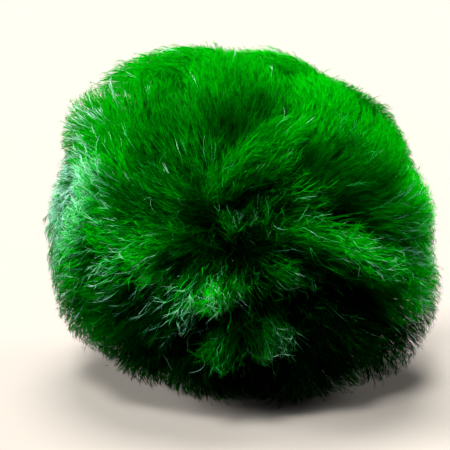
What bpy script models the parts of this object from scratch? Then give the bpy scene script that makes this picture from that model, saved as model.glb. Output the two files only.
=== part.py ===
"""A marimo moss ball: one loose ball of green filaments, combed into locks and resting on a small flat spot.

Metres, +Z up. The origin is the middle of the flat spot, and the side with the combed crown faces -Y.
The solid is the form that the filaments' tips make, so the partings between locks are grooves in it.
"""

import math

import bmesh
import bpy
import numpy as np

MM = 0.001

# Driving sizes. The heart is the point that all filaments grow away from.
WIDTH = 50 * MM
DEPTH = 46.5 * MM
HEIGHT = 42.6 * MM
HEART_HEIGHT = 21 * MM
PRESSED_FLAT = 0.9 * MM  # how much of the ball's underside the ground has pressed flat
# The locks fade out on the underside, between these elevations in degrees.
PRESSED_FROM, PRESSED_TO = -45, -72

# The plain body under the locks: a ball squared off a little towards its corners.
SQUARENESS = 2.4
GROOVE_FLOOR = 22.8 * MM  # from the heart to the bottom of a parting, before the body is squared off

# Broad swellings and hollows: azimuth and elevation in degrees, rise in mm, and half width in degrees.
# Azimuth 0 is the front, and 90 the right-hand side.
SWELLINGS = (
    (-97, 36, 2.2, 30),
    (-88, -24, 3.0, 26),
    (84, -28, 3.3, 26),
    (104, 50, -2.6, 32),
    (-76, -54, -0.6, 22),
    (-10, -74, 0.8, 24),
    (66, -54, 1.8, 20),
    (2, 2, -1.9, 36),
    (-9, 7, -1.6, 14),
    (32, -14, -1.8, 16),
    (150, 25, 0.9, 34),
    (-150, -20, 0.8, 30),
)

# The locks that give the front its look: azimuth, elevation, heading, length and width in degrees, and lift
# in mm. A lock's heading is the way its tips point: 0 is up, 90 is towards the right as seen from outside.
FRONT_LOCKS = (
    (8, 34, 54, 48, 17, 4.2),
    (17, 6, 104, 28, 15, 4.3),
    (36, -4, 115, 40, 17, 4.9),
    (-16, -9, 213, 21, 14, 4.5),
    (-8, -9, 195, 20, 14, 5.0),
    (2, -8, 150, 18, 12, 3.0),
    (-8, -27, 204, 25, 16, 4.0),
    (3, -24, 150, 22, 12, 4.1),
    (10, -3, 114, 20, 11, 3.2),
    (-5, 9, 350, 16, 10, 2.8),
    (17, 20, 62, 26, 16, 2.2),
    (-28, 2, 248, 30, 20, 3.1),
    (-25, 19, 300, 30, 24, 2.5),
    (-44, 6, 268, 32, 24, 2.4),
    (-44, -11, 245, 32, 22, 2.5),
    (-50, -28, 232, 34, 26, 2.1),
    (-27, -20, 222, 28, 22, 2.6),
    (-58, 25, 292, 36, 28, 2.0),
    (-23, 41, 340, 40, 32, 2.1),
    (-56, 47, 318, 38, 30, 1.7),
    (-2, 60, 4, 42, 34, 1.7),
    (-20, 73, 350, 42, 34, 1.8),
    (42, 52, 40, 40, 32, 1.8),
    (36, 24, 66, 36, 26, 2.1),
    (58, 32, 62, 36, 28, 1.9),
    (62, 10, 92, 38, 30, 2.6),
    (61, -13, 116, 38, 30, 2.5),
    (36, -28, 138, 40, 34, 1.9),
    (76, -38, 126, 36, 32, 1.7),
    (-20, -49, 196, 36, 32, 1.9),
    (22, -54, 168, 36, 32, 1.8),
    (-49, -42, 222, 32, 30, 1.9),
)

# The locks round the sides, top and back stand on an even lattice, shifted a little at random.
LATTICE_LOCKS = 78
LATTICE_SHIFT = 0.05
CLEAR_OF_FRONT = 16  # degrees between a lattice lock and the nearest front lock
LATTICE_LENGTH = (40, 52)  # degrees
LATTICE_WIDTH = (28, 38)  # degrees
LATTICE_LIFT = (1.6, 2.4)  # mm
HEADING_SHIFT = 30  # degrees
CROWNS = ((-5, 7), (165, 24))  # azimuth and elevation of the points that the locks are combed away from
SEED = 7

LOCK_BACK = 0.6  # how far a lock reaches behind its middle, as a share of its length; the rest is in front
LOCK_TAPER = 0.45  # how much narrower a lock is at its tips than at its middle
PARTING_SHARPNESS = 7  # a low number fills the parting where two locks meet, and a high one leaves it sharp
GRID = 28  # faces along each edge of the cube that is blown up into the ball

MOSS_GREEN = (0.012, 0.165, 0.014, 1.0)
MOSS_ROUGHNESS = 0.75
SHARP_EDGE = 70  # degrees


def direction(azimuth, elevation):
    """The unit vector that points at this azimuth and elevation, in degrees."""
    a, e = math.radians(azimuth), math.radians(elevation)
    return np.array([math.sin(a) * math.cos(e), -math.cos(a) * math.cos(e), math.sin(e)])


def up_and_right(middle):
    """The unit vectors that point up and right along the surface, as seen from outside."""
    up = np.array([0.0, 0.0, 1.0]) - middle[2] * middle
    up /= np.linalg.norm(up)
    return up, np.cross(up, middle)


def make_lock(middle, heading, length, width, lift):
    """One lock: its middle, the directions along and across it, half its length and width, and its lift."""
    up, right = up_and_right(middle)
    turn = math.radians(heading)
    along = math.cos(turn) * up + math.sin(turn) * right
    across = np.cross(along, middle)
    return middle, along, across, math.radians(length) / 2, math.radians(width) / 2, lift * MM


def lattice_directions(count, rng):
    """Points spread evenly over the unit sphere along a spiral, each shifted a little."""
    turn = math.pi * (3 - math.sqrt(5))
    points = []
    for i in range(count):
        z = 1 - (2 * i + 1) / count
        ring = math.sqrt(1 - z * z)
        point = np.array([ring * math.cos(turn * i), ring * math.sin(turn * i), z])
        point += rng.normal(0, LATTICE_SHIFT, 3)
        points.append(point / np.linalg.norm(point))
    return points


def combed_heading(middle):
    """The heading, in degrees, that leads away from the nearer crown."""
    crown = max((direction(*place) for place in CROWNS), key=lambda c: float(c @ middle))
    up, right = up_and_right(middle)
    away = middle - crown
    return math.degrees(math.atan2(away @ right, away @ up))


def all_locks():
    """The front locks, then those of the lattice that stand clear of them."""
    rng = np.random.default_rng(SEED)
    locks = [make_lock(direction(az, el), *rest) for az, el, *rest in FRONT_LOCKS]
    front = np.array([lock[0] for lock in locks])
    clear = math.cos(math.radians(CLEAR_OF_FRONT))
    for middle in lattice_directions(LATTICE_LOCKS, rng):
        heading = combed_heading(middle) + rng.normal(0, HEADING_SHIFT)
        length, width, lift = (rng.uniform(*span) for span in (LATTICE_LENGTH, LATTICE_WIDTH, LATTICE_LIFT))
        if (front @ middle).max() < clear:
            locks.append(make_lock(middle, heading, length, width, lift))
    return locks


def body_radius(directions):
    """The distance from the heart to the bottom of the partings, along each direction."""
    squared = (np.abs(directions) ** SQUARENESS).sum(1) ** (-1 / SQUARENESS)
    radius = GROOVE_FLOOR * squared
    for azimuth, elevation, rise, half_width in SWELLINGS:
        off = np.arccos((directions @ direction(azimuth, elevation)).clip(-1, 1))
        radius += rise * MM * np.exp(-((off / math.radians(half_width)) ** 2))
    return radius


def lock_height(directions, locks):
    """How far the locks stand over the bottom of the partings, along each direction.

    A lock is a long dome, narrow and steep at its tips and drawn out behind, and the highest lock shows.
    """
    total = np.zeros(len(directions))
    for middle, along, across, half_length, half_width, lift in locks:
        forward = directions @ along
        sideways = directions @ across
        reach = 2 * half_length * np.where(forward > 0, 1 - LOCK_BACK, LOCK_BACK)
        taper = 1 - LOCK_TAPER * (forward / reach).clip(0, 1)
        off = np.sqrt((forward / reach) ** 2 + (sideways / half_width / taper) ** 2)
        dome = lift / MM * (1 - off.clip(0, 1) ** 2) * (directions @ middle > 0)
        total += dome**PARTING_SHARPNESS
    level = np.degrees(np.arcsin(directions[:, 2]))
    free = ((level - PRESSED_TO) / (PRESSED_FROM - PRESSED_TO)).clip(0, 1)
    return total ** (1 / PARTING_SHARPNESS) * MM * free


def cube_sphere(grid):
    """A closed ball of unit radius made from a cube, with grid by grid faces of nearly even size a side."""
    mesh = bmesh.new()
    bmesh.ops.create_cube(mesh, size=2)
    bmesh.ops.subdivide_edges(mesh, edges=mesh.edges[:], cuts=grid - 1, use_grid_fill=True)
    for vert in mesh.verts:
        vert.co = [math.tan(x * math.pi / 4) for x in vert.co]
        vert.co.normalize()
    return mesh


def fit_to_sizes(places):
    """Stretches each half of the form, on each side of the heart, to the driving sizes."""
    above = (WIDTH / 2, DEPTH / 2, HEIGHT - HEART_HEIGHT)
    below = (WIDTH / 2, DEPTH / 2, HEART_HEIGHT + PRESSED_FLAT)
    for axis in range(3):
        column = places[:, axis]
        high, low = above[axis] / column.max(), below[axis] / -column.min()
        places[:, axis] = column * np.where(column > 0, high, low)
    return places


def press_flat(mesh):
    """Cuts the underside off level with the ground and closes it with one flat face."""
    parts = mesh.verts[:] + mesh.edges[:] + mesh.faces[:]
    cut = bmesh.ops.bisect_plane(
        mesh, geom=parts, dist=1e-6, plane_co=(0, 0, 0), plane_no=(0, 0, -1), clear_outer=True
    )
    rim = [item for item in cut["geom_cut"] if isinstance(item, bmesh.types.BMEdge)]
    bmesh.ops.contextual_create(mesh, geom=rim)


def moss_material():
    material = bpy.data.materials.new("moss")
    material.use_nodes = True
    shader = material.node_tree.nodes["Principled BSDF"]
    shader.inputs["Base Color"].default_value = MOSS_GREEN
    shader.inputs["Roughness"].default_value = MOSS_ROUGHNESS
    shader.inputs["Metallic"].default_value = 0.0
    material.diffuse_color = MOSS_GREEN
    return material


def make_moss_ball():
    """The ball of locks as one closed solid, standing on its flat spot at the origin."""
    mesh = cube_sphere(GRID)
    directions = np.array([vert.co for vert in mesh.verts])
    radius = body_radius(directions) + lock_height(directions, all_locks())
    places = fit_to_sizes(directions * radius[:, None])
    for vert, place in zip(mesh.verts, places):
        vert.co = place
        vert.co.z += HEART_HEIGHT
    press_flat(mesh)
    bmesh.ops.triangulate(mesh, faces=mesh.faces[:], quad_method="SHORT_EDGE")
    bmesh.ops.recalc_face_normals(mesh, faces=mesh.faces[:])
    data = bpy.data.meshes.new("moss_ball")
    mesh.to_mesh(data)
    mesh.free()
    data.shade_smooth()
    data.set_sharp_from_angle(angle=math.radians(SHARP_EDGE))
    data.materials.append(moss_material())
    ball = bpy.data.objects.new("moss_ball", data)
    bpy.context.scene.collection.objects.link(ball)
    return ball


def main():
    for old in list(bpy.data.objects):
        bpy.data.objects.remove(old)
    make_moss_ball()


main()
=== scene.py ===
"""The looks of the marimo moss ball: a dense coat of fine green filaments on a dark felted mat.

Metres, +Z up, and the side with the combed crown faces -Y. Each filament grows from the mat, which lies
inside the solid moss_ball, and ends on that solid's surface, so the filaments together make its locks.
"""

import math
from types import SimpleNamespace

import bmesh
import bpy
import numpy as np
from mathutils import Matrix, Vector
from mathutils.bvhtree import BVHTree
from mathutils.kdtree import KDTree


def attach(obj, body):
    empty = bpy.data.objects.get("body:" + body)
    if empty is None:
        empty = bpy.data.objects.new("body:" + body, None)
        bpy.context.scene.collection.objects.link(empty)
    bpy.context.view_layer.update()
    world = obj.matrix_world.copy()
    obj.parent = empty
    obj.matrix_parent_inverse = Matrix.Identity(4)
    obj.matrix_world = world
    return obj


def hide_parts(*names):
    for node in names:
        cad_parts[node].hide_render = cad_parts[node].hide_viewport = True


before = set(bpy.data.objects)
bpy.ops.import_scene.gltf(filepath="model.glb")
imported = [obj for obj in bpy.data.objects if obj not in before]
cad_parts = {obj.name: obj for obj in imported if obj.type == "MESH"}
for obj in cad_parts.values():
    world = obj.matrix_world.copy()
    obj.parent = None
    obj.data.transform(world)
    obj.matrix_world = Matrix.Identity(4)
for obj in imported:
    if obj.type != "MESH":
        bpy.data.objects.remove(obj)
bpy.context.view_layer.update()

MM = 0.001
NODE = "moss_ball"
SEED = 11
HEART = np.array([0.0, 0.0, 21 * MM])  # the point that all filaments grow away from

# The locks, as the solid has them: azimuth, elevation, heading, length and width in degrees, and lift in mm.
# Azimuth 0 is the front, and 90 the right-hand side. Heading 0 is up, and 90 is right as seen from outside.
# The last two numbers are the lock's tone, from 0 for deep green to 1 for fresh green, and the share of
# its filaments that have a pale tip. The tone is partly the age of the growth and partly painted light and
# shade: low on locks in hollows and on the underside, high on locks that stand out in the light.
FRONT_LOCKS = (
    (8, 34, 54, 48, 17, 4.2, 0.66, 0.02),
    (17, 6, 104, 28, 15, 4.3, 0.55, 0.06),
    (36, -4, 115, 40, 17, 4.9, 0.6, 0.1),
    (-16, -9, 213, 21, 14, 4.5, 0.1, 0.12),
    (-8, -9, 195, 20, 14, 5.0, 0.55, 0.04),
    (2, -8, 150, 18, 12, 3.0, 0.0, 0.03),
    (-8, -27, 204, 25, 16, 4.0, 0.24, 0.04),
    (3, -24, 150, 22, 12, 4.1, 0.04, 0.14),
    (10, -3, 114, 20, 11, 3.2, 0.18, 0.05),
    (-5, 9, 350, 16, 10, 2.8, 0.12, 0.04),
    (17, 20, 62, 26, 16, 2.2, 0.24, 0.02),
    (-28, 2, 248, 30, 20, 3.1, 0.5, 0.06),
    (-25, 19, 300, 30, 24, 2.5, 0.22, 0.03),
    (-44, 6, 268, 32, 24, 2.4, 0.82, 0.08),
    (-44, -11, 245, 32, 22, 2.5, 0.25, 0.07),
    (-50, -28, 232, 34, 26, 2.1, 0.12, 0.03),
    (-27, -20, 222, 28, 22, 2.6, 0.0, 0.03),
    (-58, 25, 292, 36, 28, 2.0, 0.62, 0.05),
    (-23, 41, 340, 40, 32, 2.1, 0.34, 0.01),
    (-56, 47, 318, 38, 30, 1.7, 0.45, 0.02),
    (-2, 60, 4, 42, 34, 1.7, 0.56, 0.005),
    (-20, 73, 350, 42, 34, 1.8, 0.6, 0.005),
    (42, 52, 40, 40, 32, 1.8, 0.62, 0.005),
    (36, 24, 66, 36, 26, 2.1, 0.2, 0.02),
    (58, 32, 62, 36, 28, 1.9, 0.65, 0.01),
    (62, 10, 92, 38, 30, 2.6, 1.0, 0.06),
    (61, -13, 116, 38, 30, 2.5, 0.85, 0.08),
    (36, -28, 138, 40, 34, 1.9, 0.0, 0.01),
    (76, -38, 126, 36, 32, 1.7, 0.03, 0.01),
    (-20, -49, 196, 36, 32, 1.9, 0.0, 0.01),
    (22, -54, 168, 36, 32, 1.8, 0.0, 0.01),
    (-49, -42, 222, 32, 30, 1.9, 0.0, 0.01),
)

# The other locks stand on a lattice, placed and combed as on the solid.
LATTICE_LOCKS = 78
LATTICE_SHIFT = 0.05
CLEAR_OF_FRONT = 16
LATTICE_LENGTH = (40, 52)
LATTICE_WIDTH = (28, 38)
LATTICE_LIFT = (1.6, 2.4)
# Lattice locks are lighter towards the top: partly fresher growth and partly painted top light.
LATTICE_TONE = (0.42, 0.15)  # at the height of the heart, and how much more at the very top
LATTICE_PALE = 0.015
HEADING_SHIFT = 30
CROWNS = ((-5, 7), (165, 24))
LOCK_SEED = 7
LOCK_BACK = 0.6
LOCK_TAPER = 0.45
LOCK_EDGE = 0.05  # a place that stands less than this over the partings, in mm, is in no lock
AWAY_IN_LOCK, AWAY_IN_PARTING = 0.3, 2.0  # how much a filament also points away from the crown

# The mat under the coat.
MAT_DEPTH = 4.6 * MM  # from the smoothed surface of the solid down to the mat
MAT_COVER = 0.9 * MM  # the least depth of the mat under the bottom of a parting
MAT_LUMPS = 0.15 * MM
MAT_SUBDIVISIONS = 4
MAT_SMOOTHINGS = 12
ROOT_DEPTH = 0.3 * MM  # how deep in the mat the filaments start

# The coat: how many filaments of each kind there are, how far along each its points lie, and how many more
# there are where the coat is wispy, as a share.
CURLY, CURLY_STEPS, CURLY_FAVOUR = 5500, np.array([0.0, 0.28, 0.54, 0.78, 1.0]), 7.0
LONG, LONG_STEPS, LONG_FAVOUR = 11500, np.array([0.0, 0.36, 0.72, 1.0]), -0.3
UNDERCOAT, UNDERCOAT_STEPS, UNDERCOAT_FAVOUR = 23000, np.array([0.0, 0.55, 1.0]), 0.0
THIN_BEHIND, THIN_BELOW = 0.3, 0.6  # the share of filaments left out behind, and where the ball rests
WISPS = 5600

# Branches are thin spikes on the filaments' outer halves. The shares are those of the branches that grow on
# curly, long, undercoat and tuft filaments.
BRANCHES = 91000
BRANCH_SHARES = (0.18, 0.4, 0.37, 0.05)
BRANCH_FROM = 0.85  # the furthest that a branch starts along its parent's last stretch, as a share
BRANCH_LENGTH = (0.8 * MM, 2.2 * MM)
BRANCH_SPLAY = (0.2 * MM, 0.6 * MM)

# Strays are long filaments that lie loose over the coat. Their pale silver colour is a painted highlight.
STRAYS = 36
STRAY_POINTS = 7
STRAY_MIDDLE = (-6, 4)  # azimuth and elevation
STRAY_SPREAD = 0.27  # how far the strays lie from that middle, in radians
STRAY_LENGTH = (0.05, 0.11)  # radians, as seen from the heart

# How filaments are formed and coloured.
RADIUS = 0.034 * MM  # of a filament in the outer coat
UNDERCOAT_RADIUS = 0.05 * MM
PALE_WIDTH = 0.8  # how thick a filament with a pale tip is, against the others, where the coat is wispy
PALE_BRANCH_WIDTH = 0.65  # the same, for its branches everywhere
PALE_HANG = 1.3  # how far a pale tip hangs over a parting, against the others
SILVER_WIDTH = 0.7
UNDERCOAT_SHADE = 0.3  # how much darker the undercoat is where the coat is wispy
PROUD = 0.22 * MM  # about how far the longer outer filaments pass the solid's surface
MOST_PROUD = 1.0 * MM  # the furthest that any of them passes it
FRINGE = 1.1 * MM  # how far the tips at the front of a wispy lock hang over the parting
FAN = 0.55  # how far a lock's filaments splay towards its sides
PINCH = 0.3  # how much nearer to a lock's middle line a filament starts than it ends, as a share
RAGGED = 0.1  # how far locks reach into each other at a parting
OWN_COMB = 1.6  # how soon locks are combed each for itself where the coat gets wispier
ABRUPTNESS = 3  # how abruptly one lock's comb passes into the next in velvet, with 1 for the softest
JITTER = 0.004  # how far tips are shifted at random, in radians
BOW, WAVE = 0.016, 0.01  # how far filaments bend off a plain course, in radians
TONE_SPREAD = 0.02  # how much the colour numbers of neighbours differ
SHELL_ROWS = 360  # the rows from pole to pole of the grid that holds how far a mesh lies from the heart

# Small tufts that stand out of the coat near the crown: the azimuth, elevation and heading of the tuft's
# foot, its length in mm, its number of filaments, how far they fan out in radians, the tuft's tone, and the
# share of its filaments that have a pale tip.
# A tuft's tone is partly the age of its growth and partly painted light and shade.
TUFTS = (
    (-10, -6, 210, 3.6, 90, 0.14, 0.9, 0.3),
    (-9, -4, 204, 3.2, 120, 0.14, 1.0, 0.3),
    (-7, -3, 194, 2.5, 130, 0.14, 1.0, 0.25),
    (-4, -4, 178, 2.4, 90, 0.16, 0.8, 0.15),
    (-14, -8, 208, 4.6, 30, 0.2, 0.6, 0.9),
    (-3, -21, 196, 4.3, 50, 0.2, 0.5, 0.12),
    (-9, -22, 206, 4.2, 30, 0.22, 0.35, 0.15),
    (4, -19, 158, 4.8, 60, 0.16, 0.7, 0.45),
    (7, -20, 148, 4.8, 40, 0.14, 0.6, 0.7),
    (6, -21, 152, 5.2, 20, 0.22, 1.0, 1.0),
    (10, 11, 100, 5.0, 50, 0.18, 0.4, 0.1),
    (14, 8, 104, 6.0, 50, 0.16, 0.6, 0.12),
    (18, 7, 108, 6.0, 90, 0.14, 0.9, 0.14),
    (23, 5, 108, 6.0, 150, 0.14, 1.0, 0.16),
    (33, 2, 110, 6.0, 50, 0.14, 0.8, 0.25),
    (41, -2, 114, 6.0, 40, 0.16, 0.7, 0.25),
    (49, -6, 116, 6.0, 60, 0.2, 0.9, 0.2),
    (8, 13, 78, 4.6, 50, 0.25, 0.5, 0.06),
    (12, 13, 82, 4.2, 70, 0.25, 0.7, 0.06),
    (0, 4, 0, 5.0, 130, 0.3, 0.5, 0.12),
    (-3, 3, 340, 3.2, 40, 0.4, 0.3, 0.15),
    (3, 0, 112, 5.0, 80, 0.2, 0.6, 0.12),
    (6, -3, 122, 4.2, 50, 0.2, 0.6, 0.3),
    (14, -2, 117, 4.6, 70, 0.18, 0.55, 0.22),
    (9, -8, 115, 5.6, 30, 0.18, 0.2, 0.25),
    (13, -11, 112, 5.4, 24, 0.2, 0.12, 0.2),
    (-1, -1, 148, 3.0, 30, 0.22, 0.3, 0.2),
    (-5, -1, 200, 2.8, 30, 0.25, 0.25, 0.15),
    (-10, 0, 215, 3.0, 40, 0.25, 0.3, 0.2),
    (-17, -2, 213, 3.8, 50, 0.25, 0.3, 0.25),
    (-25, 0, 230, 4.0, 90, 0.25, 0.7, 0.25),
    (-21, 2, 238, 4.4, 110, 0.25, 0.8, 0.2),
    (-15, 5, 236, 3.4, 40, 0.3, 0.2, 0.2),
    (-33, -1, 245, 6.0, 70, 0.22, 0.6, 0.35),
    (-44, 2, 262, 6.0, 50, 0.22, 0.45, 0.4),
    (-38, -14, 238, 6.0, 40, 0.22, 0.2, 0.3),
    (-51, -8, 250, 6.0, 40, 0.22, 0.25, 0.4),
    (-31, 9, 280, 5.0, 40, 0.3, 0.3, 0.2),
    (-27, 5, 255, 5.0, 70, 0.25, 0.8, 0.3),
    (3, 16, 30, 3.6, 40, 0.3, 0.15, 0.05),
    (-9, 16, 330, 3.8, 50, 0.3, 0.25, 0.08),
    (-15, 13, 295, 3.8, 50, 0.3, 0.4, 0.1),
    (-6, 14, 50, 5.6, 80, 0.2, 0.6, 0.03),
    (2, 19, 52, 6.0, 100, 0.2, 0.8, 0.03),
    (-14, 15, 102, 2.6, 1, 0.1, 1.0, 1.0),
    (-5, 14, 62, 2.4, 1, 0.1, 1.0, 1.0),
    (12, 9, 80, 3.2, 3, 0.06, 1.0, 1.0),
    (-6, -9, 122, 3.0, 2, 0.1, 1.0, 1.0),
    (-22, 22, 345, 2.8, 2, 0.1, 1.0, 1.0),
    (-42, 17, 286, 5.0, 80, 0.4, 1.0, 0.75),
    (-45, 13, 280, 5.0, 130, 0.4, 1.0, 0.8),
    (-47, 8, 275, 5.0, 120, 0.4, 1.0, 0.8),
    (-53, 3, 266, 5.0, 70, 0.4, 1.0, 0.8),
    (-43, 15, 280, 5.0, 60, 0.4, 1.0, 0.3),
    (-49, -3, 262, 5.0, 90, 0.4, 1.0, 0.12),
    (-62, 5, 268, 5.0, 50, 0.4, 1.0, 0.8),
    (50, 6, 98, 5.0, 110, 0.3, 1.0, 0.12),
    (55, 0, 102, 5.0, 110, 0.3, 1.0, 0.15),
)
TUFT_FOOT = (0.03, 0.018)  # the foot's spread across the comb and along it, in radians
TUFT_BOW = 0.017
TUFT_TONE_SPREAD = 0.05
TUFT_DEPTH = 1.7 * MM  # from the solid's surface down to the tuft's foot
OVERHANG = 1.1 * MM  # how far a tuft's tips may hang free over the solid's surface
CROWN_RADIUS = 21 * MM  # about how far the surface at the crown is from the heart

# More such tufts, at random near the crown. Where there are two values, each tuft's lies between them.
LOOSE_TUFTS = 30
LOOSE_SPREAD = 0.3  # how far they stand from the middle of the front, in radians
LOOSE_LENGTH = (2.2, 4.2)
LOOSE_NUMBER = (16, 40)
LOOSE_FAN = 0.3
LOOSE_TONE = (0.1, 0.4)
LOOSE_PALE = (0.0, 0.35)

# Where the coat is wispy instead of velvety: azimuth and elevation, reach in degrees, and strength.
WISPY = ((0, -8, 33, 1.0), (-52, -4, 26, 0.7), (52, -2, 20, 0.5))

# Where the small wisps point every way, in the same way.
TOUSLED = ((-2, 0, 17, 1.0), (16, -6, 11, 0.7), (-20, 0, 12, 0.6))

# Painted shade, in the same way: where the coat is darkened to stand in for the shade in hollows, partings
# and under the locks.
PAINTED_SHADE = (
    (-5, 43, 9, 0.75),
    (-4, 56, 8, 0.35),
    (4, 48, 8, 0.6),
    (3, 38, 6, 0.45),
    (10, 36, 6, 0.5),
    (30, 11, 7, 0.85),
    (24, 25, 7, 0.4),
    (18, 22, 7, 0.6),
    (9, 19, 6, 0.6),
    (22, 12, 6, 0.4),
    (47, 18, 7, 0.65),
    (40, 6, 5, 0.5),
    (14, 3, 5, 0.8),
    (35, -3, 6, 0.9),
    (37, 8, 4, 0.9),
    (6, 11, 6, 0.8),
    (-10, 8, 5, 0.8),
    (-3, 1, 10, 0.7),
    (-7, -1, 7, 0.85),
    (3, -10, 7, 0.9),
    (-10, -13, 4, 0.9),
    (-38, 14, 7, 0.75),
    (-28, 26, 8, 0.4),
    (-42, -7, 7, 0.7),
    (-56, 28, 5, 0.4),
    (-33, -8, 9, 0.85),
    (-40, -17, 9, 0.45),
    (-33, 38, 7, 0.4),
    (-23, -9, 8, 0.95),
    (-32, -17, 7, 0.6),
    (-24, -24, 8, 0.5),
)

# Painted shade also keeps each filament's bright outer part darker, by this share where a spot is full.
SHADE_DEPTH = 0.55  # how much of a filament's bright outer part stays dark where the coat is fully shaded

# Where filaments are silver all along, in the same way: painted glow and highlights that stand in for the
# light the thin filaments scatter, mostly at the rims. The strength is their share, and the last row
# strews a few over the whole ball.
SILVER_GLOW = (
    (-84, 8, 22, 0.85),
    (-65, 10, 13, 0.9),
    (-63, 2, 8, 0.8),
    (-52, 16, 7, 0.4),
    (-46, -8, 12, 0.1),
    (-28, -14, 8, 0.12),
    (-17, -19, 5, 0.3),
    (86, -4, 20, 0.08),
    (57, 4, 8, 0.3),
    (61, -8, 9, 0.35),
    (66, -18, 10, 0.16),
    (0, 0, 180, 0.0006),
)

# Each strand has a colour number. Over the first span it turns from deep green to fresh green, over the
# second to green with a pale tip, and over the third to silver, which is painted glow.
FRESH_SPAN = (0.1, 0.7)
PALE_SPAN = (0.74, 0.8)
SILVER_SPAN = (0.89, 0.94)

# The colour numbers that green, pale-tipped and silver strands have.
GREEN_RANGE = (0.06, 0.72)
PALE_RANGE = (0.83, 0.87)
SILVER_RANGE = (0.95, 0.99)
PATCHINESS = 0.03  # how much the coat's colour varies from patch to patch

# The size of a strand's faces on the map, across it, and along it where the strand starts.
MAP_WIDTH = 0.004
MAP_CAP = 0.01


def direction(azimuth, elevation):
    """The unit vector that points at this azimuth and elevation, in degrees."""
    a, e = math.radians(azimuth), math.radians(elevation)
    return np.array([math.sin(a) * math.cos(e), -math.cos(a) * math.cos(e), math.sin(e)])


def unit(vectors):
    return vectors / np.linalg.norm(vectors, axis=-1, keepdims=True)


def between(values, low, high):
    """0 up to low, 1 from high on, and evenly from one to the other between them."""
    return ((values - low) / (high - low)).clip(0, 1)


def green(tone):
    """A green strand's colour number, for a tone from 0, deep and dark, to 1, fresh and bright: partly the
    age of the growth and partly painted light and shade.
    """
    low, high = FRESH_SPAN
    return low + (high - low) * tone


def up_and_right(middle):
    """The unit vectors that point up and right along the surface, as seen from outside."""
    up = unit(np.array([0.0, 0.0, 1.0]) - middle[..., 2:3] * middle)
    return up, np.cross(up, middle)


def turned(ways, turn, middles):
    """Ways along the surface, turned to the right by this many radians, as seen from outside."""
    return np.cos(turn) * ways + np.sin(turn) * np.cross(ways, middles)


def spiral(count):
    """Points spread evenly over the unit sphere along a spiral."""
    i = np.arange(count)
    z = 1 - (2 * i + 1) / count
    ring = np.sqrt(1 - z * z)
    turn = math.pi * (3 - math.sqrt(5)) * i
    return np.stack([ring * np.cos(turn), ring * np.sin(turn), z], 1)


def make_lock(middle, heading, length, width, lift, *looks):
    """One lock: its middle, the ways along and across it, half its length and width, lift and looks."""
    up, right = up_and_right(middle)
    turn = math.radians(heading)
    along = math.cos(turn) * up + math.sin(turn) * right
    across = np.cross(along, middle)
    return middle, along, across, math.radians(length) / 2, math.radians(width) / 2, lift, *looks


def combed_heading(middle):
    """The heading, in degrees, that leads away from the nearer crown."""
    crown = max((direction(*place) for place in CROWNS), key=lambda c: float(c @ middle))
    up, right = up_and_right(middle)
    away = middle - crown
    return math.degrees(math.atan2(away @ right, away @ up))


def all_locks():
    """The front locks, then those of the lattice that stand clear of them."""
    rng = np.random.default_rng(LOCK_SEED)
    locks = [make_lock(direction(az, el), *rest) for az, el, *rest in FRONT_LOCKS]
    front = np.array([lock[0] for lock in locks])
    clear = math.cos(math.radians(CLEAR_OF_FRONT))
    middles = [unit(point + rng.normal(0, LATTICE_SHIFT, 3)) for point in spiral(LATTICE_LOCKS)]
    for middle in middles:
        heading = combed_heading(middle) + rng.normal(0, HEADING_SHIFT)
        length, width, lift = (rng.uniform(*span) for span in (LATTICE_LENGTH, LATTICE_WIDTH, LATTICE_LIFT))
        tone = LATTICE_TONE[0] + LATTICE_TONE[1] * middle[2]
        if (front @ middle).max() < clear:
            locks.append(make_lock(middle, heading, length, width, lift, tone, LATTICE_PALE))
    return locks


def strongest(spots, ways):
    """The greatest strength of the spots at each place. A spot fades out around its middle."""
    amount = np.zeros(ways.shape[:-1])
    for azimuth, elevation, reach, strength in spots:
        off = np.degrees(np.arccos((ways @ direction(azimuth, elevation)).clip(-1, 1)))
        amount = np.maximum(amount, strength * np.exp(-((off / reach) ** 2)))
    return amount


def wispiness(ways):
    """1 where the coat falls into separate wisps, and 0 where it is smooth as velvet."""
    return strongest(WISPY, ways)


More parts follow.
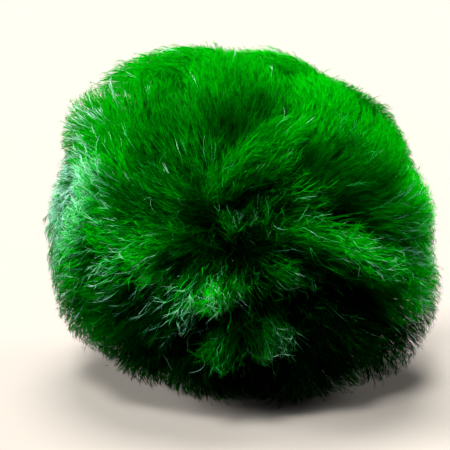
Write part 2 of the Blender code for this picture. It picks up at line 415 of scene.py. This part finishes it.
class Locks:
    """All locks, one row for each in every array."""

    def __init__(self, locks):
        columns = [np.array(values) for values in zip(*locks)]
        self.middle, self.along, self.across, self.half_length, self.half_width = columns[:5]
        self.lift, self.tone, self.pale = columns[5:]
        self.crowns = np.array([direction(*place) for place in CROWNS])

    def domes(self, ways):
        """How high each lock stands at each place, and how far forward and aside of its middle that is."""
        forward, sideways = ways @ self.along.T, ways @ self.across.T
        reach = 2 * self.half_length * np.where(forward > 0, 1 - LOCK_BACK, LOCK_BACK)
        taper = 1 - LOCK_TAPER * (forward / reach).clip(0, 1)
        off = np.sqrt((forward / reach) ** 2 + (sideways / self.half_width / taper) ** 2)
        height = self.lift * (1 - off.clip(0, 1) ** 2) * (ways @ self.middle.T > 0)
        return height, forward / reach, sideways

    def comb(self, ways, rng):
        """For each place: the lock it belongs to, how high up and how far forward in the lock it lies, how
        far aside of the lock's middle line, the way that the coat is combed there, and the coat's tone.

        Wispy locks are combed each for itself. In velvet, one lock's way and tone pass softly into the next.
        """
        height, forward, sideways = self.domes(ways)
        lock = (height * rng.uniform(1 - RAGGED, 1 + RAGGED, height.shape)).argmax(1)
        pick = np.arange(len(ways)), lock
        apart = np.zeros_like(height)
        apart[pick] = 1
        shared = height**ABRUPTNESS + 1e-6
        shared /= shared.sum(1, keepdims=True)
        wispy = (OWN_COMB * wispiness(ways)).clip(0, 1)[:, None]
        share = apart * wispy + shared * (1 - wispy)
        splay = FAN * (sideways / self.half_width).clip(-1.2, 1.2)
        flow = share @ self.along + (share * splay) @ self.across
        away = unit(ways - self.crowns[(ways @ self.crowns.T).argmax(1)])
        flow = flow + np.where(height[pick] > LOCK_EDGE, AWAY_IN_LOCK, AWAY_IN_PARTING)[:, None] * away
        flow = unit(flow - (flow * ways).sum(1, keepdims=True) * ways)
        return lock, height[pick] / self.lift[lock], forward[pick], sideways[pick], flow, share @ self.tone


def smooth_noise(points, frequency, seed, waves=24):
    """A smooth random number for each point, about -1 to 1: a sum of plane waves."""
    rng = np.random.default_rng(seed)
    ways = unit(rng.normal(size=(waves, 3))) * frequency * rng.uniform(0.6, 1.4, (waves, 1))
    return np.sin(points @ ways.T + rng.uniform(0, 2 * math.pi, waves)).sum(1) * math.sqrt(2 / waves) / 1.6


class Shell:
    """How far a closed mesh lies from the heart in each direction, kept on a grid over the sphere."""

    def __init__(self, mesh):
        points = np.empty(len(mesh.vertices) * 3, np.float32)
        mesh.vertices.foreach_get("co", points)
        mesh.calc_loop_triangles()
        corners = np.empty(len(mesh.loop_triangles) * 3, np.int32)
        mesh.loop_triangles.foreach_get("vertices", corners)
        tree = BVHTree.FromPolygons(points.reshape(-1, 3).tolist(), corners.reshape(-1, 3).tolist())
        polar = np.linspace(0, math.pi, SHELL_ROWS + 1)[:, None]
        around = np.linspace(0, 2 * math.pi, 2 * SHELL_ROWS + 1)[None]
        ways = np.stack(
            [np.sin(polar) * np.cos(around), np.sin(polar) * np.sin(around), np.cos(polar) + 0 * around], -1
        )
        heart = Vector(HEART)
        self.grid = np.array([tree.ray_cast(heart, Vector(way))[3] for way in ways.reshape(-1, 3)])
        self.grid = self.grid.reshape(SHELL_ROWS + 1, 2 * SHELL_ROWS + 1)

    def __call__(self, ways):
        row = np.arccos(ways[..., 2].clip(-1, 1)) / math.pi * SHELL_ROWS
        column = np.arctan2(ways[..., 1], ways[..., 0]) / math.pi * SHELL_ROWS % (2 * SHELL_ROWS)
        i, j = row.astype(int).clip(0, SHELL_ROWS - 1), column.astype(int).clip(0, 2 * SHELL_ROWS - 1)
        down, over = row - i, column - j
        top = self.grid[i, j] * (1 - over) + self.grid[i, j + 1] * over
        bottom = self.grid[i + 1, j] * (1 - over) + self.grid[i + 1, j + 1] * over
        return top * (1 - down) + bottom * down


def add_piece(name, mesh, material):
    mesh.materials.append(material)
    piece = bpy.data.objects.new(name, mesh)
    bpy.context.scene.collection.objects.link(piece)
    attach(piece, "root")
    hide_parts(NODE)
    return piece


def make_mat(surface):
    """The felted mat: a ball inside the solid, smoothed so that it runs on under the partings."""
    ball = bmesh.new()
    bmesh.ops.create_icosphere(ball, subdivisions=MAT_SUBDIVISIONS, radius=1)
    ways = unit(np.array([vert.co for vert in ball.verts]))
    edges = np.array([[vert.index for vert in edge.verts] for edge in ball.edges])
    ends, others = np.concatenate([edges, edges[:, ::-1]]).T
    count = np.bincount(ends, minlength=len(ways))
    outer = surface(ways)
    level = outer.copy()
    for _ in range(MAT_SMOOTHINGS):
        level = (level + np.bincount(ends, level[others], len(ways)) / count) / 2
    level = np.minimum(level - MAT_DEPTH, outer - MAT_COVER)
    level += MAT_LUMPS * smooth_noise(ways, 60, 3)
    for vert, place in zip(ball.verts, HEART + ways * level[:, None]):
        vert.co = place
    mesh = bpy.data.meshes.new("felted_mat")
    ball.to_mesh(mesh)
    ball.free()
    mesh.shade_smooth()
    add_piece("felted_mat", mesh, mat_material())
    return Shell(mesh)


def nearest(points, places):
    """For each point, the number of the place that lies nearest."""
    tree = KDTree(len(places))
    for index, place in enumerate(places):
        tree.insert(place, index)
    tree.balance()
    return np.array([tree.find(point)[1] for point in points])


def strands(paths, radii, tones, alongs, rng):
    """Closed three-sided strands along paths, each ending in a point.

    paths is (strands, points, 3), and radii and alongs are (strands, points). Gives the strands' points,
    their triangles, and the map places of the triangles' corners: the tone, and how far along.
    """
    count, steps, _ = paths.shape
    ways = unit(np.gradient(paths, axis=1))
    side = unit(np.cross(ways, unit(rng.normal(size=(count, 1, 3)))))
    other = np.cross(ways, side)
    turns = [2 * math.pi * k / 3 for k in range(3)]
    rings = [paths + (math.cos(a) * side + math.sin(a) * other) * radii[..., None] for a in turns]
    rings = np.stack(rings, 2)[:, :-1]
    points = np.concatenate([rings.reshape(count, -1, 3), paths[:, -1:]], 1)
    tip = steps - 1
    corners = [((0, 2), (0, 1), (0, 0))]
    for k in range(3):
        n = (k + 1) % 3
        for ring in range(tip - 1):
            corners += [((ring, k), (ring, n), (ring + 1, n)), ((ring, k), (ring + 1, n), (ring + 1, k))]
        corners.append(((tip - 1, k), (tip - 1, n), (tip, 0)))
    ring, k = np.moveaxis(np.array(corners), -1, 0)
    triangles = (ring * 3 + k)[None] + (np.arange(count) * points.shape[1])[:, None, None]
    # The middle corner of a cap lies a little further along, so that no face is without width on the map.
    u = tones[:, None, None] + MAP_WIDTH * (np.where(ring == tip, 1, k) - 1)
    v = alongs[:, ring]
    v[:, 0, 1] += MAP_CAP
    return points.reshape(-1, 3), triangles.reshape(-1, 3), np.stack([u, v], -1).reshape(-1, 2)


def strand_mesh(name, groups):
    """One mesh of several groups of strands."""
    points, triangles, places, first = [], [], [], 0
    for group_points, group_triangles, group_places in groups:
        points.append(group_points)
        triangles.append(group_triangles + first)
        places.append(group_places)
        first += len(group_points)
    points, triangles, places = (np.concatenate(x) for x in (points, triangles, places))
    mesh = bpy.data.meshes.new(name)
    mesh.vertices.add(len(points))
    mesh.vertices.foreach_set("co", points.astype(np.float32).ravel())
    mesh.loops.add(triangles.size)
    mesh.loops.foreach_set("vertex_index", triangles.astype(np.int32).ravel())
    mesh.polygons.add(len(triangles))
    mesh.polygons.foreach_set("loop_start", 3 * np.arange(len(triangles), dtype=np.int32))
    mesh.update(calc_edges=True)
    layer = mesh.uv_layers.new(name="OFBake")
    layer.uv.foreach_set("vector", places.clip(0.001, 0.999).astype(np.float32).ravel())
    mesh.shade_smooth()
    mesh.validate()
    return mesh


def scattered(count, favour, rng):
    """About this many places for filaments, a little denser in front and sparse where the ball rests.

    favour is how many more there are where the coat is wispy, as a share.
    """
    ways = unit(spiral(3 * count) + rng.normal(0, JITTER, (3 * count, 3)))
    share = 1 - THIN_BEHIND * (1 - between(ways @ direction(0, 12), -0.3, 0.5))
    share *= 1 - THIN_BELOW * between(-ways[:, 2], 0.75, 0.87)
    share *= 1 + favour * wispiness(ways)
    return ways[rng.random(len(ways)) < share * count / share.sum()]


def make_wisps(rng):
    """Small groups of filaments that share a turn, a lean, a reach and a tone, with tips drawn together.

    The groups differ more from each other where the coat is wispy, and point every way where it is tousled.
    """
    ways = unit(spiral(WISPS) + rng.normal(0, 0.014, (WISPS, 3)))
    wispy, tousled = wispiness(ways), strongest(TOUSLED, ways)
    return {
        "way": ways,
        "gather": rng.uniform(0.0, 0.1, WISPS) + rng.uniform(0.1, 0.35, WISPS) * wispy + 0.2 * tousled,
        "turn": 0.2 * smooth_noise(ways, 9, 31) + rng.normal(0, 0.06, WISPS) * (1 + 2 * wispy + 12 * tousled),
        "lean": rng.uniform(0.9, 1.1, WISPS) * (0.2 + 0.14 * wispy) * (1 - 0.6 * tousled),
        "reach": 0.97 - 0.02 * wispy + rng.normal(0, 0.01, WISPS) * (1 + 2.5 * wispy),
        "rise": rng.uniform(1.0, 1.5, WISPS),
        "tone": rng.normal(0, 0.012, WISPS) * (1 + 4 * wispy + 6 * tousled),
        "curl": rng.normal(0, 0.012, (WISPS, 3)) * (0.2 + wispy + 1.2 * tousled)[:, None],
        "pale": np.where(rng.random(WISPS) < 0.4, 1.7, 0.5),
        "dim": np.where(rng.random(WISPS) < 0.4, rng.uniform(0.3, 0.9, WISPS), 0) * wispy,
    }


def curl(bow, wave, steps):
    """How far the points of each strand lie off a plain course: by one bow, and by a wave of two bows."""
    once, twice = np.sin(math.pi * steps)[:, None], np.sin(2 * math.pi * steps)[:, None]
    return bow[:, None] * once + wave[:, None] * twice


def settle_tips(count, favour, locks, wisps, rng):
    """About this many tips of filaments, drawn together in wisps, and all that depends on where they lie.

    tips are ways from the heart, and wisp holds what each one shares with its wisp.
    """
    tips = scattered(count, favour, rng)
    nearby = nearest(tips, wisps["way"])
    wisp = {name: values[nearby] for name, values in wisps.items()}
    gather = (wisp["gather"] * rng.uniform(0.5, 1.3, len(tips)))[:, None]
    tips = unit(tips + gather * (wisp["way"] - tips) + rng.normal(0, JITTER, tips.shape))
    wispy = wispiness(tips)
    lock, height, forward, sideways, comb, tone = locks.comb(tips, rng)
    turn = (wisp["turn"] + rng.normal(0, 0.08, len(tips)) * (1 + 1.2 * wispy))[:, None]
    comb = turned(comb, turn, tips)
    return SimpleNamespace(
        tips=tips, wisp=wisp, wispy=wispy, height=height, forward=forward, sideways=sideways,
        comb=comb, tone=tone, across=locks.across[lock], pale=locks.pale[lock],
    )


def grow_paths(own, steps, undercoat, surface, mat, rng):
    """The filaments' courses from the mat to their tips, and how much of the way out each one reaches."""
    count = len(own.tips)
    # Filaments lean more towards the front of a lock, and start nearer to its middle line than they end.
    lean = own.wisp["lean"] * rng.uniform(0.8, 1.2, count) * (1 + 0.6 * own.wispy * own.forward.clip(-1, 1))
    inward = PINCH * own.wispy * own.sideways * (own.height > LOCK_EDGE)
    roots = unit(own.tips - lean[:, None] * own.comb - inward[:, None] * own.across)
    inner, outer = mat(roots) - ROOT_DEPTH, surface(own.tips)
    reach = own.wisp["reach"] + 0.02 * rng.normal(size=count)
    if undercoat:
        reach -= rng.uniform(0.0, 0.1, count) * (1 + 1.5 * own.wispy)
        beyond = 0
    else:
        beyond = (rng.exponential(PROUD, count) - 0.5 * PROUD).clip(0, MOST_PROUD)
    end = inner + (outer - inner) * reach.clip(0.2, 1.05) + beyond
    bend = steps[None] ** 1.3
    rise = 1 - (1 - steps[None]) ** own.wisp["rise"][:, None]
    ways = roots[:, None] * (1 - bend)[..., None] + own.tips[:, None] * bend[..., None]
    bow = own.wisp["curl"] + rng.normal(0, BOW, (count, 3)) * (0.2 + own.wispy)[:, None]
    wave = rng.normal(0, WAVE, (count, 3)) * own.wispy[:, None]
    ways = unit(ways + curl(bow, wave, steps))
    level = inner[:, None] + (end - inner)[:, None] * rise
    level[:, 1:-1] = np.minimum(level[:, 1:-1], surface(ways)[:, 1:-1])
    return HEART + ways * level[..., None], reach


def painted_shade_in_locks(own):
    """How far each filament comes along its colours, from dark to bright, by where in its lock it stands.

    This is painted shade: velvet darkens towards the partings, and a wispy lock also darkens towards its back
    and where it lies low.
    """
    velvet = 0.55 + 0.45 * between(own.height, 0, 0.4)
    raised = (0.15 + 1.1 * own.height + 0.4 * own.forward.clip(0, 1)).clip(0, 1)
    in_wisps = 0.1 + 0.9 * between(own.forward, -0.25, 0.3) * raised
    return velvet * (1 - own.wispy) + in_wisps * own.wispy


def dress_outer(own, steps, paths, radii, tones, lit, rng):
    """Makes some filaments pale-tipped or silver, and lets tips hang over the partings, all in place."""
    count = len(own.tips)
    # Pale tips, partly bleached ends and partly painted highlights, are commoner towards the front of a lock.
    front = 0.35 + 0.65 * (own.forward * 1.5).clip(0, 1)
    glow_share = strongest(SILVER_GLOW, own.tips)
    chance = rng.random(count) / own.wisp["pale"]
    tipped = chance < own.pale * front + glow_share
    silver = chance < glow_share
    tones[tipped] = rng.uniform(*PALE_RANGE, tipped.sum())
    tones[silver] = rng.uniform(*SILVER_RANGE, silver.sum())
    radii[tipped] *= 1 + (PALE_WIDTH - 1) * own.wispy[tipped, None]
    radii[silver] *= SILVER_WIDTH
    # Silver strands are lifted to their bright colours: painted glow.
    lit[silver] = np.maximum(lit, 0.5 + 0.5 * glow_share)[silver]
    hang = FRINGE * own.wispy * between(own.forward, 0.3, 0.7) * rng.uniform(0.1, 1, count)
    hang[tipped] *= PALE_HANG
    paths += (hang[:, None] * (2 * steps - 1).clip(0, 1))[..., None] * own.comb[:, None]


def grow_filaments(count, steps, favour, undercoat, ball, rng):
    """Filaments from the mat to the solid's surface, or not quite up to it for the undercoat.

    ball holds the solid's surface, the mat, the locks and the wisps.
    """
    surface, mat, locks, wisps = ball
    own = settle_tips(count, favour, locks, wisps, rng)
    count = len(own.tips)
    paths, reach = grow_paths(own, steps, undercoat, surface, mat, rng)
    radius = UNDERCOAT_RADIUS if undercoat else RADIUS
    taper = np.ones(len(steps))
    taper[-2:] = 0.85, 0.0
    radii = radius * (rng.uniform(0.75, 1.1, count) * (1 + 0.15 * own.wispy))[:, None] * taper
    # Painted shade lowers the tone and darkens each filament's outer part.
    painted_shade = strongest(PAINTED_SHADE, own.tips)
    tones = green(own.tone * (1 - painted_shade)) + own.wisp["tone"] + PATCHINESS * smooth_noise(own.tips, 6, 8)
    tones = (tones + rng.normal(0, TONE_SPREAD, count) * (1 + 2 * own.wispy)).clip(*GREEN_RANGE)
    lit = painted_shade_in_locks(own) * (1 - own.wisp["dim"]) * (1 - SHADE_DEPTH * painted_shade)
    if undercoat:
        lit *= 1 - UNDERCOAT_SHADE * own.wispy
    else:
        dress_outer(own, steps, paths, radii, tones, lit, rng)
    paths[..., 2] = np.maximum(paths[..., 2], radius)
    alongs = steps[None] * (lit * reach.clip(0.2, 1))[:, None]
    return paths, radii, tones, alongs


def tuft_filaments(locks, rng):
    """The values of every tuft's filaments: foot, way of the comb, length, fan, tone and pale share."""
    loose = unit(direction(0, 0) + rng.normal(0, LOOSE_SPREAD, (LOOSE_TUFTS, 3)))
    feet = np.array([direction(azimuth, elevation) for azimuth, elevation, *_ in TUFTS])
    turn = np.radians([tuft[2] for tuft in TUFTS])[:, None]
    comb = np.concatenate([turned(up_and_right(feet)[0], turn, feet), locks.comb(loose, rng)[4]])
    feet = np.concatenate([feet, loose])
    length, number, fan, tone, pale = np.array([tuft[3:] for tuft in TUFTS]).T
    length = np.append(length, rng.uniform(*LOOSE_LENGTH, LOOSE_TUFTS)) * MM
    number = np.append(number, rng.integers(*LOOSE_NUMBER, LOOSE_TUFTS)).astype(int)
    fan = np.append(fan, np.full(LOOSE_TUFTS, LOOSE_FAN))
    tone = np.append(tone, rng.uniform(*LOOSE_TONE, LOOSE_TUFTS))
    pale = np.append(pale, rng.uniform(*LOOSE_PALE, LOOSE_TUFTS))
    return [np.repeat(values, number, axis=0) for values in (feet, comb, length, fan, tone, pale)]


def grow_tufts(surface, locks, rng):
    """Small tufts near the crown: filaments that fan out from one foot, curl and hang free at their tips."""
    feet, comb, length, fan, tone, pale = tuft_filaments(locks, rng)
    count, steps = len(feet), CURLY_STEPS
    # A filament that starts to one side of the foot also leans to that side.
    aside = rng.normal(size=(count, 1))
    side = np.cross(comb, feet)
    start = unit(feet + TUFT_FOOT[0] * aside * side + TUFT_FOOT[1] * rng.normal(size=(count, 1)) * comb)
    way = unit(comb + fan[:, None] * (aside + 0.5 * rng.normal(size=(count, 1))) * side)
    far = (length * rng.uniform(0.5, 1.1, count) / CROWN_RADIUS)[:, None]
    bow, wave = rng.normal(0, TUFT_BOW, (count, 3)), rng.normal(0, WAVE, (count, 3))
    ways = unit(start[:, None] + way[:, None] * (far * steps)[..., None] + curl(bow, wave, steps))
    ground = surface(ways)
    crest = np.minimum(np.maximum.accumulate(ground, 1), ground + OVERHANG)
    low = ground[:, :1] - TUFT_DEPTH
    high = crest + (rng.uniform(-0.7, 0.4, count) * MM)[:, None]
    paths = HEART + ways * (low + (high - low) * steps**0.6)[..., None]
    paths[..., 2] = np.maximum(paths[..., 2], RADIUS)
    radii = RADIUS * rng.uniform(0.8, 1.15, count)[:, None] * np.array([1.0, 1.0, 1.0, 0.9, 0.0])
    tones = (green(tone) + rng.normal(0, TUFT_TONE_SPREAD, count)).clip(*GREEN_RANGE)
    tipped = rng.random(count) < pale
    tones[tipped] = rng.uniform(*PALE_RANGE, tipped.sum())
    radii[tipped] *= PALE_WIDTH
    # A tuft's roots are dark, and a tuft of low tone stays darker up to its tips: partly old growth and
    # partly painted shade.
    bright = rng.uniform(0.85, 1.0, count) * (0.4 + tone.clip(0, 0.6))
    alongs = steps * bright[:, None]
    return paths, radii, tones, alongs


def grow_branches(count, filaments, surface, rng):
    """Side branches: spikes that leave the filaments on their outer halves and splay out."""
    paths, _, tones, alongs = filaments
    parent = rng.integers(0, len(paths), count)
    share = rng.uniform(0, BRANCH_FROM, (count, 1))
    before, after = paths[parent, -2], paths[parent, -1]
    start = before * (1 - share) + after * share
    way = after - before
    length = np.linalg.norm(way, axis=1, keepdims=True)
    splay = rng.normal(size=way.shape)
    splay -= (splay * way).sum(1, keepdims=True) / length**2 * way
    wispy = wispiness(unit(start - HEART))[:, None]
    splay = unit(splay) * rng.uniform(*BRANCH_SPLAY, (count, 1)) * (0.8 + 0.9 * wispy)
    end = start + unit(way) * rng.uniform(*BRANCH_LENGTH, (count, 1)) + splay
    out = end - HEART
    far = np.linalg.norm(out, axis=1)
    most = surface(out / far[:, None]) + rng.uniform(-0.5, 0.25, count) * MM
    most = np.maximum(most, np.linalg.norm(after - HEART, axis=1) - rng.uniform(0, 0.4, count) * MM)
    end = HEART + out * np.minimum(1, most / far)[:, None]
    branch = np.stack([start, end], 1)
    branch[..., 2] = np.maximum(branch[..., 2], RADIUS)
    thin = RADIUS * rng.uniform(0.8, 1.1, (count, 1)) * np.array([1.0, 0.0])
    thin *= np.where(tones[parent] > PALE_SPAN[1], PALE_BRANCH_WIDTH, 1)[:, None]
    shade = (tones[parent] + rng.normal(0, TONE_SPREAD, count)).clip(0.03, 0.99)
    low = alongs[parent, -2:-1] * (1 - share) + alongs[parent, -1:] * share
    along = np.concatenate([low, np.maximum(alongs[parent, -1:], low + 0.02)], 1)
    return branch, thin, shade, along


def grow_strays(surface, locks, rng):
    """Long filaments that lie loose over the coat near the crown, each in a curve of its own; their silver
    colour is a painted highlight.
    """
    middles = unit(direction(*STRAY_MIDDLE) + rng.normal(0, STRAY_SPREAD, (STRAYS, 3)))
    comb = locks.comb(middles, rng)[4]
    comb = turned(comb, rng.normal(0, 0.9, STRAYS)[:, None], middles)
    side = np.cross(comb, middles)
    length = rng.uniform(*STRAY_LENGTH, STRAYS)[:, None]
    hook = rng.normal(0, 0.35, STRAYS)[:, None] * length
    along = np.linspace(-0.5, 0.5, STRAY_POINTS)
    ways = middles[:, None] + comb[:, None] * (length * along)[..., None]
    ways = unit(ways + side[:, None] * (hook * (4 * along**2 - 0.5))[..., None])
    lift = rng.uniform(-0.5, 0.2, STRAYS)[:, None] * MM + np.linspace(-1.2, 0.1, STRAY_POINTS) * MM
    paths = HEART + ways * (surface(ways) + lift)[..., None]
    paths[..., 2] = np.maximum(paths[..., 2], RADIUS)
    radii = RADIUS * rng.uniform(0.45, 0.65, STRAYS)[:, None] * np.array([0.6, 0.9, 1, 0.9, 0.8, 0.6, 0.0])
    tones = rng.uniform(*SILVER_RANGE, STRAYS)
    alongs = rng.uniform(0.6, 1.0, (STRAYS, 1)) * np.linspace(0.8, 1.0, STRAY_POINTS)
    return paths, radii, tones, alongs


# The coat is kept in eight pieces, by the way that each part of it faces: azimuth and elevation.
SIDES = {
    "filaments_front_upper": (0, 42),
    "filaments_crown": (-2, 2),
    "filaments_front_lower": (0, -40),
    "filaments_back": (180, 0),
    "filaments_left": (-90, 0),
    "filaments_right": (90, 0),
    "filaments_top": (180, 84),
    "filaments_underside": (180, -84),
}


def make_coat(surface, mat):
    """Grows the whole coat and parts it into its pieces."""
    rng = np.random.default_rng(SEED)
    locks = Locks(all_locks())
    ball = surface, mat, locks, make_wisps(rng)
    parents = [
        grow_filaments(CURLY, CURLY_STEPS, CURLY_FAVOUR, False, ball, rng),
        grow_filaments(LONG, LONG_STEPS, LONG_FAVOUR, False, ball, rng),
        grow_filaments(UNDERCOAT, UNDERCOAT_STEPS, UNDERCOAT_FAVOUR, True, ball, rng),
        grow_tufts(surface, locks, rng),
    ]
    kinds = [*parents, grow_strays(surface, locks, rng)]
    for filaments, share in zip(parents, BRANCH_SHARES):
        kinds.append(grow_branches(int(BRANCHES * share), filaments, surface, rng))
    ways = np.array([direction(*side) for side in SIDES.values()])
    faced = [((kind[0][:, -1] - HEART) @ ways.T).argmax(1) for kind in kinds]
    material = filament_material()
    for index, name in enumerate(SIDES):
        here = [(kind, side == index) for kind, side in zip(kinds, faced)]
        groups = [strands(*(values[own] for values in kind), rng) for kind, own in here if own.any()]
        add_piece(name, strand_mesh(name, groups), material)


def ramp(nodes, *stops):
    """A colour ramp with these stops, each a place and a colour."""
    node = nodes.new("ShaderNodeValToRGB")
    elements = node.color_ramp.elements
    while len(elements) < len(stops):
        elements.new(0.5)
    for element, (place, colour) in zip(elements, stops):
        element.position = place
        element.color = (*colour, 1)
    return node


def blend_by(tree, value, low, high, first, second):
    """A mix of two colours that goes from the first to the second as value goes from low to high.

    A mix node has its two colours at inputs 6 and 7, and the mixed colour at output 2.
    """
    step = tree.nodes.new("ShaderNodeMapRange")
    step.inputs["From Min"].default_value = low
    step.inputs["From Max"].default_value = high
    tree.links.new(value, step.inputs["Value"])
    mix = tree.nodes.new("ShaderNodeMix")
    mix.data_type = "RGBA"
    tree.links.new(step.outputs[0], mix.inputs[0])
    tree.links.new(first, mix.inputs[6])
    tree.links.new(second, mix.inputs[7])
    return mix.outputs[2]


# A filament's colours from its root to its tip, for each kind of filament: each stop's place and colour.
# The near-black roots are partly the older inner growth and partly painted shade deep in the coat.
DEEP = (
    (0.0, (0.0001, 0.002, 0.0002)),
    (0.4, (0.0002, 0.007, 0.0004)),
    (0.75, (0.0003, 0.016, 0.0006)),
    (1.0, (0.0004, 0.032, 0.001)),
)
FRESH = (
    (0.0, (0.0002, 0.006, 0.0002)),
    (0.4, (0.0004, 0.22, 0.0008)),
    (0.75, (0.0007, 0.55, 0.0015)),
    (1.0, (0.001, 0.72, 0.003)),
)
# Pale tips are partly bleached dead ends and partly painted highlights where tips catch the light.
TIPPED = (
    (0.0, (0.0002, 0.004, 0.0005)),
    (0.4, (0.001, 0.18, 0.004)),
    (0.75, (0.04, 0.62, 0.13)),
    (0.95, (0.62, 1.0, 0.86)),
)
# Silver is painted glow and highlight: the light that thin filaments scatter at the rims.
SILVER = (
    (0.0, (0.0005, 0.006, 0.001)),
    (0.4, (0.05, 0.3, 0.16)),
    (0.7, (0.28, 0.63, 0.47)),
    (1.0, (0.72, 0.98, 0.9)),
)
SHINE_THROUGH = 0.5  # how much of a filament's light comes through it, as a share


def filament_material():
    """Green that is near black at the root and bright at the tip.

    The map's U is the strand's colour number, and its V is how far along its colours the strand is.
    """
    material = bpy.data.materials.new("filament_green")
    material.use_nodes = True
    tree = material.node_tree
    nodes, links = tree.nodes, tree.links
    uv = nodes.new("ShaderNodeUVMap")
    uv.uv_map = "OFBake"
    split = nodes.new("ShaderNodeSeparateXYZ")
    links.new(uv.outputs[0], split.inputs[0])
    tone, along = split.outputs[0], split.outputs[1]
    ramps = [ramp(nodes, *stops) for stops in (DEEP, FRESH, TIPPED, SILVER)]
    for node in ramps:
        links.new(along, node.inputs[0])
    deep, fresh, tipped, silver = (node.outputs[0] for node in ramps)
    colour = blend_by(tree, tone, *FRESH_SPAN, deep, fresh)
    colour = blend_by(tree, tone, *PALE_SPAN, colour, tipped)
    colour = blend_by(tree, tone, *SILVER_SPAN, colour, silver)
    shader = nodes["Principled BSDF"]
    links.new(colour, shader.inputs["Base Color"])
    shader.inputs["Roughness"].default_value = 0.6
    shader.inputs["Specular IOR Level"].default_value = 0.0
    through = nodes.new("ShaderNodeBsdfTranslucent")
    links.new(colour, through.inputs[0])
    both = nodes.new("ShaderNodeMixShader")
    both.inputs[0].default_value = SHINE_THROUGH
    links.new(shader.outputs[0], both.inputs[1])
    links.new(through.outputs[0], both.inputs[2])
    links.new(both.outputs[0], nodes["Material Output"].inputs["Surface"])
    return material


def mat_material():
    material = bpy.data.materials.new("mat_dark_green")
    material.use_nodes = True
    nodes, links = material.node_tree.nodes, material.node_tree.links
    place = nodes.new("ShaderNodeTexCoord")
    noise = nodes.new("ShaderNodeTexNoise")
    noise.inputs["Scale"].default_value = 900
    links.new(place.outputs["Object"], noise.inputs["Vector"])
    # Near-black green: partly the old inner growth and partly painted shade under the coat.
    colour = ramp(nodes, (0.3, (0.0003, 0.004, 0.0005)), (0.75, (0.001, 0.018, 0.002)))
    links.new(noise.outputs[0], colour.inputs[0])
    shader = nodes["Principled BSDF"]
    links.new(colour.outputs[0], shader.inputs["Base Color"])
    shader.inputs["Roughness"].default_value = 0.9
    shader.inputs["Specular IOR Level"].default_value = 0.1
    return material


# The camera looks at the ball from the front and a little above.
LENS = 85
CAMERA_PITCH = 13  # degrees
CAMERA_DISTANCE = 134.2 * MM
LOOK_AT = Vector((-2.5 * MM, 0.0, 20.1 * MM))

# Each light's azimuth and elevation, its width across the sky in degrees, and its strength.
LIGHTS = {
    "key": (180, 84, 30, 6.2),
    "fill": (-14, 58, 16, 5.4),
    "left_rim": (-87, 20, 24, 9.5),
    "right_rim": (108, 16, 24, 3.4),
}
SKY_COLOUR, SKY_STRENGTH = (0.95, 0.97, 1.0, 1), 0.03
FLOOR_COLOUR = (0.21, 0.19, 0.165, 1)
FLOOR_REACH = 6.0  # metres from the middle to each edge


def make_camera():
    data = bpy.data.cameras.new("camera")
    data.lens = LENS
    data.clip_start = 5 * MM
    camera = bpy.data.objects.new("camera", data)
    bpy.context.scene.collection.objects.link(camera)
    back = Vector(direction(0, CAMERA_PITCH))
    camera.location = LOOK_AT + back * CAMERA_DISTANCE
    camera.rotation_euler = back.to_track_quat("Z", "Y").to_euler()
    bpy.context.scene.camera = camera


def sun_light(name, azimuth, elevation, width, strength):
    """A light from far away, as wide across the sky as this many degrees."""
    data = bpy.data.lights.new(name, "SUN")
    data.angle, data.energy = math.radians(width), strength
    light = bpy.data.objects.new(name, data)
    bpy.context.scene.collection.objects.link(light)
    light.rotation_euler = Vector(direction(azimuth, elevation)).to_track_quat("Z", "Y").to_euler()


def make_floor():
    """The pale floor. It throws no light back on the ball, so the underside stays as dark as it should."""
    mesh = bpy.data.meshes.new("floor")
    corners = [(FLOOR_REACH * x, FLOOR_REACH * y, 0) for x, y in ((-1, -1), (1, -1), (1, 1), (-1, 1))]
    mesh.from_pydata(corners, [], [(0, 1, 2, 3)])
    floor = bpy.data.objects.new("floor", mesh)
    bpy.context.scene.collection.objects.link(floor)
    material = bpy.data.materials.new("pale_floor")
    material.use_nodes = True
    shader = material.node_tree.nodes["Principled BSDF"]
    shader.inputs["Base Color"].default_value = FLOOR_COLOUR
    shader.inputs["Roughness"].default_value = 0.9
    mesh.materials.append(material)
    floor.visible_diffuse = False


def make_studio():
    make_camera()
    for name, values in LIGHTS.items():
        sun_light(name, *values)
    scene = bpy.context.scene
    scene.view_settings.view_transform = "Standard"
    world = bpy.data.worlds.new("studio")
    world.use_nodes = True
    sky = world.node_tree.nodes["Background"]
    sky.inputs["Color"].default_value = SKY_COLOUR
    sky.inputs["Strength"].default_value = SKY_STRENGTH
    scene.world = world
    make_floor()


def main():
    surface = Shell(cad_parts[NODE].data)
    mat = make_mat(surface)
    make_coat(surface, mat)
    make_studio()


main()
